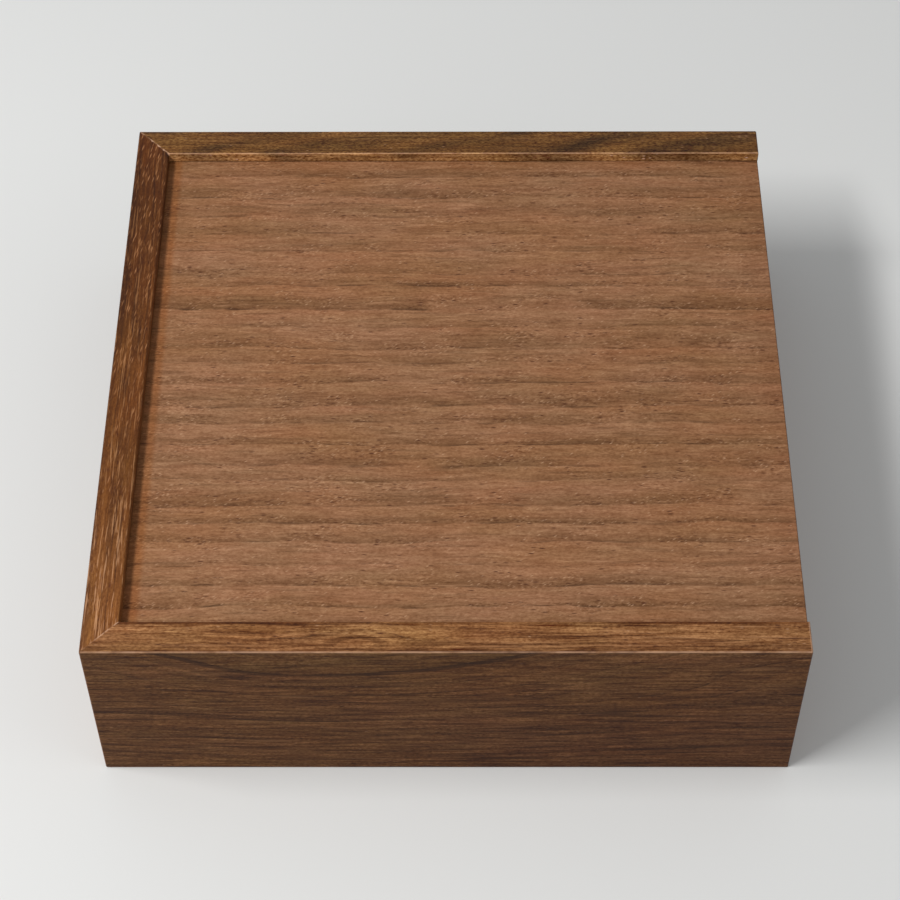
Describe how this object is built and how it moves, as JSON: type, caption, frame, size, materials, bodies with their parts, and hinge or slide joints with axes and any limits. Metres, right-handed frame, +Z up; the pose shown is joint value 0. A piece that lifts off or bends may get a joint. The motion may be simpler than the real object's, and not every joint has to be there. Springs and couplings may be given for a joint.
{
  "type": "sliding lid box",
  "caption": "Square low wooden keepsake box with a flat lid that slides sideways out of grooves in its walls.",
  "frame": {"origin": "middle of the rectangle that the box stands on, at the height of the surface under it", "axes": "+Z up, +X the way the lid slides out, -Y the front"},
  "size_m": [0.25, 0.25, 0.078],
  "materials": {
    "front_wall_walnut": "oiled walnut, grain along the wall",
    "back_wall_walnut": "oiled walnut, dark figured board",
    "left_wall_walnut": "oiled walnut, reddish board with light flecks",
    "right_wall_walnut": "oiled walnut",
    "bottom_walnut": "oiled walnut",
    "lid_walnut": "oiled walnut, straight banded grain",
    "tongue_beech": "bare hardwood, hidden in the mitre"
  },
  "bodies": {
    "box": {"front_wall": "front_wall_walnut", "back_wall": "back_wall_walnut", "left_wall": "left_wall_walnut", "right_wall": "right_wall_walnut", "bottom_panel": "bottom_walnut", "mitre_tongue_front": "tongue_beech", "mitre_tongue_back": "tongue_beech"},
    "sliding_lid": {"lid": "lid_walnut"}
  },
  "joints": [
    {"name": "lid_slide", "type": "slide", "parent": "box", "child": "sliding_lid", "axis": [1, 0, 0], "range_m": [0, 0.245]}
  ]
}
